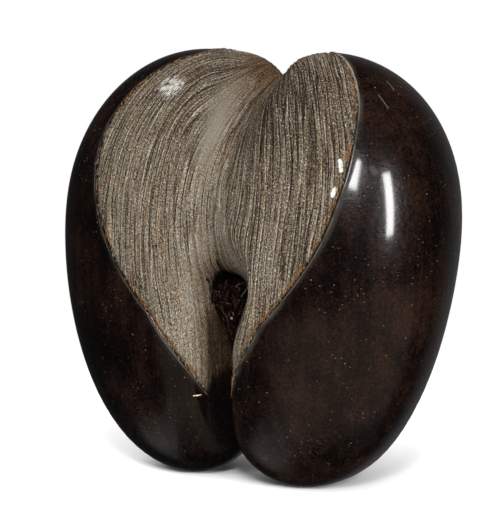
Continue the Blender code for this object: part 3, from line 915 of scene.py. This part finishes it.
    # both together, with the groove between them and the near-black wall of the slit: rough fibre
    # and painted shade
    inside = ragged.ease(-0.1, 0.5)
    colour = bench.tint(inside, shell, face)
    colour = bench.tint(ragged.bump(0.1, 0.9) * 0.9, colour, GROOVE_BLACK)
    slit_fibre_and_shade = bench.tint(crumbs.ease(0.62, 0.72) * 0.3, SLIT_BLACK, FACE_BROWN)
    join(bench.tint(slit_wall, colour, slit_fibre_and_shade), shader, "Base Color")
    smear = place.stretch((90.0, 90.0, 60.0)).grain(1.0, 3.0, 0.7)
    dull = (smear - 0.5) * 0.30 + (mottle - 0.5) * 0.10 + 0.29 + speck * 0.4 + slit_wall * 0.5
    join(dull + (0.85 - dull) * inside, shader, "Roughness")
    join((1.0 - inside) * (1.0 - slit_wall) * 0.8, shader, "Coat Weight")
    husk = ((ridges - 0.5) * 0.8 - groove * 0.5 + pale * 0.25) * rough + (grit - 0.5) * 0.5
    hand = place.stretch((220.0, 220.0, 620.0)).grain(1.0, 2.0, 0.6)
    palm = place.stretch((260.0, 260.0, 150.0)).grain(1.0, 1.0)
    polish = (hand - 0.5) * 0.17 + (palm - 0.5) * 0.16
    height = husk * inside + (1.0 - inside) * polish
    relief = bench.node("ShaderNodeBump", {},
                        {"Strength": 1.0, "Distance": 0.0009, "Height": height})
    join(relief, shader, "Normal")
    return finish


seed_look = seed_finish()
nut = grow("nut_dress", seed_shell(), ridge_tree(seed_look), RIDGE_SIZES)
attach(nut, "root")
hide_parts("nut")

# ---- Frayed fibres along the border ----
# Where the shell was sanded away from the rough face, the husk's last fibres were cut across.
# Their short splintered ends stand over the groove, orange-brown where they are fresh.
FRAY_COUNT = 1500
FRAY_SIZES = {"Splinter Length": 0.0030, "Splinter Radius": 0.00030, "Lift": 0.45, "Seed": 5}
FRAY_BAND = 3.2  # millimetres from the border
FRAY_CROWD = 1.6  # above 1, more of them stand close to the border
FRAY_REACH = 110  # millimetres that a reach of 1 comes to at the border
FRAY_SEED = 11
FRAY_RIGHT_START = FRONT_START + 22  # degrees; hidden in the slit below
FRAY_LEFT_START = -44.0  # and where the left border fades out
FRAY_END = FRONT_END - 6
FRAY_WORN = [(0.0, (0.010, 0.007, 0.005)), (0.45, (0.045, 0.032, 0.022)),
             (0.85, (0.140, 0.115, 0.080)), (1.0, (0.26, 0.22, 0.16))]
FRAY_FRESH = [(0.0, (0.030, 0.014, 0.006)), (0.5, (0.130, 0.060, 0.020)), (1.0, (0.30, 0.17, 0.07))]


def fray_roots(side, count, seed):
    """Points just inside the border, with the way up and the way that the fibres run."""
    chance = np.random.default_rng(seed)
    start = FRAY_RIGHT_START if side > 0 else FRAY_LEFT_START
    angle = np.radians(chance.uniform(start, FRAY_END, count))
    inset = chance.uniform(0.0, 1.0, count) ** FRAY_CROWD * FRAY_BAND / FRAY_REACH
    reach = border_reach(angle, side) - inset
    small = 0.002
    here = seed_point(angle, reach, side)
    up_angle = seed_point(angle + small, reach, side) - here
    up_reach = seed_point(angle, reach + small, side) - here
    flow = fibre_flow(angle, reach, side)[:, 0]
    turn = fibre_flow(angle + small, reach, side)[:, 0] - flow
    out = fibre_flow(angle, reach + small, side)[:, 0] - flow
    run = up_angle - up_reach * (turn / out)[:, None]
    up = np.cross(up_reach, up_angle) * side
    way = np.where(chance.random(count) < 0.5, -1.0, 1.0)
    return (here, up / np.linalg.norm(up, axis=1)[:, None],
            run / np.linalg.norm(run, axis=1)[:, None] * way[:, None])


def fray_points():
    halves = [fray_roots(side, FRAY_COUNT // 2, FRAY_SEED + side) for side in (1, -1)]
    places, ups, runs = [np.concatenate(parts) for parts in zip(*halves)]
    mesh = bpy.data.meshes.new("fray")
    mesh.from_pydata(places.tolist(), [], [])
    for name, values in (("up", ups), ("run", runs)):
        store = mesh.attributes.new(name, "FLOAT_VECTOR", "POINT")
        store.data.foreach_set("vector", values.astype(np.float32).ravel())
    return mesh


def pick(low, high, seed, number=None):
    """A random size for each point, or for each hair when its number is given."""
    inputs = {2: low, 3: high, "Seed": seed}
    if number is not None:
        inputs["ID"] = number
    return seed.bench.node("FunctionNodeRandomValue", {"data_type": "FLOAT"}, inputs, output=1)


def shade_each(geometry, domain, seed, number=None):
    """Keep a random shade with each splinter or hair, for its finish."""
    settings = {"data_type": "FLOAT", "domain": domain}
    shade = pick(0.0, 1.0, seed, number)
    inputs = {"Geometry": geometry, "Name": "shade", "Value": shade}
    return geometry.bench.node("GeometryNodeStoreNamedAttribute", settings, inputs)


def fray_tree(finish):
    """Sets a splinter on every point, lying along the fibres and lifted a little."""
    bench, wire, group = start_growth("frayed border", FRAY_SIZES)
    inputs = {"Vertices": 5, "Side Segments": 3, "Radius Top": 0.12, "Radius Bottom": 1.0,
              "Depth": 1.0}
    splinter = bench.node("GeometryNodeMeshCone", {}, inputs)
    seed = wire["Seed"]
    lift = pick(0.05, wire["Lift"], seed)
    raised = named(bench, "up", "FLOAT_VECTOR").stretch(lift)
    way = bench.node("ShaderNodeVectorMath", {"operation": "ADD"},
                     [named(bench, "run", "FLOAT_VECTOR"), raised])
    turned = bench.node("FunctionNodeAlignRotationToVector", {"axis": "Z"}, {"Vector": way})
    long = pick(0.4, 1.0, seed + 1) * wire["Splinter Length"]
    thick = pick(0.5, 1.0, seed + 2) * wire["Splinter Radius"]
    roots = bench.node("GeometryNodeMeshToPoints", {}, [wire["Geometry"]])
    set_up = bench.node("GeometryNodeInstanceOnPoints", {},
                        {"Points": roots, "Instance": splinter, "Rotation": turned,
                         "Scale": bench.vector(thick, thick, long)})
    close_growth(shade_each(set_up, "INSTANCE", seed + 3), finish)
    return group


def fray_finish():
    finish, bench, shader = new_finish("cut fibre", {"IOR": 1.4, "Specular IOR Level": 0.2})
    place = bench.node("ShaderNodeTexCoord", output="Object")
    shade = read_mark(bench, "shade")
    fresh = place.grain(45.0, 2.0).ease(0.42, 0.62)
    colour = bench.tint(fresh, bench.ramp(shade, FRAY_WORN), bench.ramp(shade, FRAY_FRESH))
    join(colour, shader, "Base Color")
    join(place.grain(500.0, 1.0) * 0.2 + 0.65, shader, "Roughness")
    return finish


fray_look = fray_finish()
fray = grow("fray", fray_points(), fray_tree(fray_look), FRAY_SIZES)
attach(fray, "root")

# ---- The tuft ----
# A wad of dark husk fibre still rooted in the top of the slit.  Hundreds of thin curled
# hairs hang down over a dense core and close to a point.
TUFT_TOP = 0.1465
TUFT_TIP = 0.104
TUFT_X = 0.0015
TUFT_TIP_DRIFT = 0.0045  # its point hangs under the right lobe
TUFT_HALF_WIDTH = 0.0205
TUFT_SIDE_Y = -0.0475
TUFT_BACK_Y = -0.0300
TUFT_BACK_SLOPE = 0.20
TUFT_FRONT_BULGE = 0.0078
TUFT_TAPER = 1.05
CORE_LEVELS = (-0.05, 0.0, 0.08, 0.2, 0.35, 0.5, 0.65, 0.8, 0.92, 1.0)  # 0 top, 1 tip
CORE_SIDES = 24
CORE_SHARE = 0.86  # of the tuft's width
HAIR_SIZES = {"Hairs": 1200, "Hair Radius": 0.00024, "Curl": 1.8, "Seed": 3}
HAIR_STEPS = 12
HAIR_START = (-0.04, 0.55)  # levels where the hairs start
HAIR_LONG = (0.25, 0.95)  # and how far down they hang
HAIR_TURN = 1.75  # how far round the sides they start, radians
HAIR_RAISED = 0.0016
HAIR_COLOURS = [(0.0, (0.0005, 0.0004, 0.0004)), (0.80, (0.0014, 0.0009, 0.0009)),
                (0.88, (0.045, 0.012, 0.008)), (0.95, (0.110, 0.050, 0.030)),
                (0.99, (0.30, 0.24, 0.18))]
TUFT_FLECK_PLACE = (0.0062, -0.0513, 0.1195)  # a crumb of pale husk caught in it


def tuft_core():
    """Dense middle of the tuft, a closed tube that narrows downwards."""
    points = []
    for level in CORE_LEVELS:
        fall = max(level, 0) * (TUFT_TOP - TUFT_TIP)
        width = CORE_SHARE * (TUFT_HALF_WIDTH * (1 - max(level, 0) ** TUFT_TAPER) + 0.0005)
        width *= 0.6 if level < 0 else 1
        centre_y = TUFT_SIDE_Y + 0.002 * level
        back_y = TUFT_BACK_Y + TUFT_BACK_SLOPE * fall * (1 - 0.45 * level)
        for side in range(CORE_SIDES):
            turn = math.tau * side / CORE_SIDES
            ahead = math.cos(turn)
            bulge = TUFT_FRONT_BULGE * (1 - level) * min(1, 0.2 + 3 * max(level, 0))
            depth = (bulge + 0.0003) if ahead > 0 else 0.85 * (back_y - centre_y)
            y = centre_y - depth * ahead if ahead > 0 else centre_y + depth * ahead ** 2
            z = TUFT_TOP - fall - min(level, 0) * 0.02
            points.append((TUFT_X + TUFT_TIP_DRIFT * level + width * math.sin(turn), y, z))
    faces = []
    for row in range(len(CORE_LEVELS) - 1):
        above = row * CORE_SIDES
        below = above + CORE_SIDES
        for side in range(CORE_SIDES):
            other = (side + 1) % CORE_SIDES
            faces.append((above + side, below + side, below + other, above + other))
    faces.append(tuple(range(CORE_SIDES)))
    faces.append(tuple(reversed(range(len(points) - CORE_SIDES, len(points)))))
    mesh = bpy.data.meshes.new("tuft")
    mesh.from_pydata(points, [], faces)
    return mesh


def hair_tree(finish):
    """Hangs curled hairs down the front and sides of the core."""
    bench, wire, group = start_growth("tuft hairs", HAIR_SIZES)
    stem = bench.node("GeometryNodeCurvePrimitiveLine", {"mode": "POINTS"},
                      {"Start": (0, 0, 0), "End": (0, 0, -0.04)})
    stem = bench.node("GeometryNodeResampleCurve", {"mode": "COUNT"},
                      {"Curve": stem, "Count": HAIR_STEPS})
    roots = bench.node("GeometryNodeMeshLine", {"mode": "OFFSET"}, {"Count": wire["Hairs"]})
    hairs = bench.node("GeometryNodeInstanceOnPoints", {}, {"Points": roots, "Instance": stem})
    hairs = bench.node("GeometryNodeRealizeInstances", {}, [hairs])
    index = bench.node("GeometryNodeInputIndex")
    number = (index / HAIR_STEPS + 0.001).work("FLOOR")
    part = (index - number * HAIR_STEPS) / (HAIR_STEPS - 1)
    seed = wire["Seed"]
    start = pick(*HAIR_START, seed, number)
    turn = pick(-HAIR_TURN, HAIR_TURN, seed + 1, number)
    long = pick(*HAIR_LONG, seed + 2, number)
    raised = pick(0.0, HAIR_RAISED, seed + 3, number)
    level = (start + part * long).least(1.06)
    flat = level.most(0.0).least(1.0)
    width = (1.0 - flat ** TUFT_TAPER) * TUFT_HALF_WIDTH + 0.0006 + raised * 0.5
    noise_place = bench.vector(number * 0.731, level * 7.0, number * 0.113)
    sway = bench.node("ShaderNodeTexNoise", {},
                      {"Vector": noise_place, "Scale": 1.0, "Detail": 1.0}, output=1)
    sway_x, sway_y, sway_z = sway.parts()
    swung = turn * (1.0 - flat * 0.3) + (sway_x - 0.5) * wire["Curl"]
    ahead = swung.work("COSINE").most(-0.2)
    x = (level * TUFT_TIP_DRIFT + TUFT_X + width * swung.work("SINE") * 0.96
         + (sway_z - 0.5) * 0.006 * part)
    bulge = (level.most(0.0) * 3.0 + 0.2).least(1.0) * (1.0 - flat) * TUFT_FRONT_BULGE
    y = level * 0.002 + TUFT_SIDE_Y - (bulge + 0.0006 + raised) * ahead
    y = y - (sway_y - 0.5) * 0.005 * part
    z = TUFT_TOP - level * (TUFT_TOP - TUFT_TIP) + (sway_x - 0.5) * 0.008
    shaped = bench.node("GeometryNodeSetPosition", {},
                        {"Geometry": hairs, "Position": bench.vector(x, y, z)})
    shaped = shade_each(shaped, "POINT", seed + 4, number)
    thick = (1.0 - part * 0.65) * pick(0.6, 1.25, seed + 5, number)
    shaped = bench.node("GeometryNodeSetCurveRadius", {}, {"Curve": shaped, "Radius": thick})
    ring = bench.node("GeometryNodeCurvePrimitiveCircle", {},
                      {"Resolution": 4, "Radius": wire["Hair Radius"]})
    solid = bench.node("GeometryNodeCurveToMesh", {},
                       {"Curve": shaped, "Profile Curve": ring, "Fill Caps": True, "Scale": thick})
    both = bench.node("GeometryNodeJoinGeometry")
    join(wire["Geometry"], both.socket.node, 0)
    join(solid, both.socket.node, 0)
    smooth = bench.node("GeometryNodeSetShadeSmooth", {}, {"Geometry": both})
    close_growth(smooth, finish)
    return group


def tuft_finish():
    finish, bench, shader = new_finish("husk fibre", {"IOR": 1.45, "Specular IOR Level": 0.05})
    place = bench.node("ShaderNodeTexCoord", output="Object")
    cloud = place.grain(700.0, 2.0)
    shade = read_mark(bench, "shade") + (cloud - 0.5) * 0.12
    fleck = gap(place, TUFT_FLECK_PLACE).ease(0.0012, 0.0007)
    colour = bench.tint(fleck * 0.7, bench.ramp(shade, HAIR_COLOURS), FLECK)
    join(colour, shader, "Base Color")
    join(cloud * 0.3 + 0.35, shader, "Roughness")
    return finish


tuft_look = tuft_finish()
tuft = grow("tuft_dress", tuft_core(), hair_tree(tuft_look), HAIR_SIZES)
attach(tuft, "root")
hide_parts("tuft")
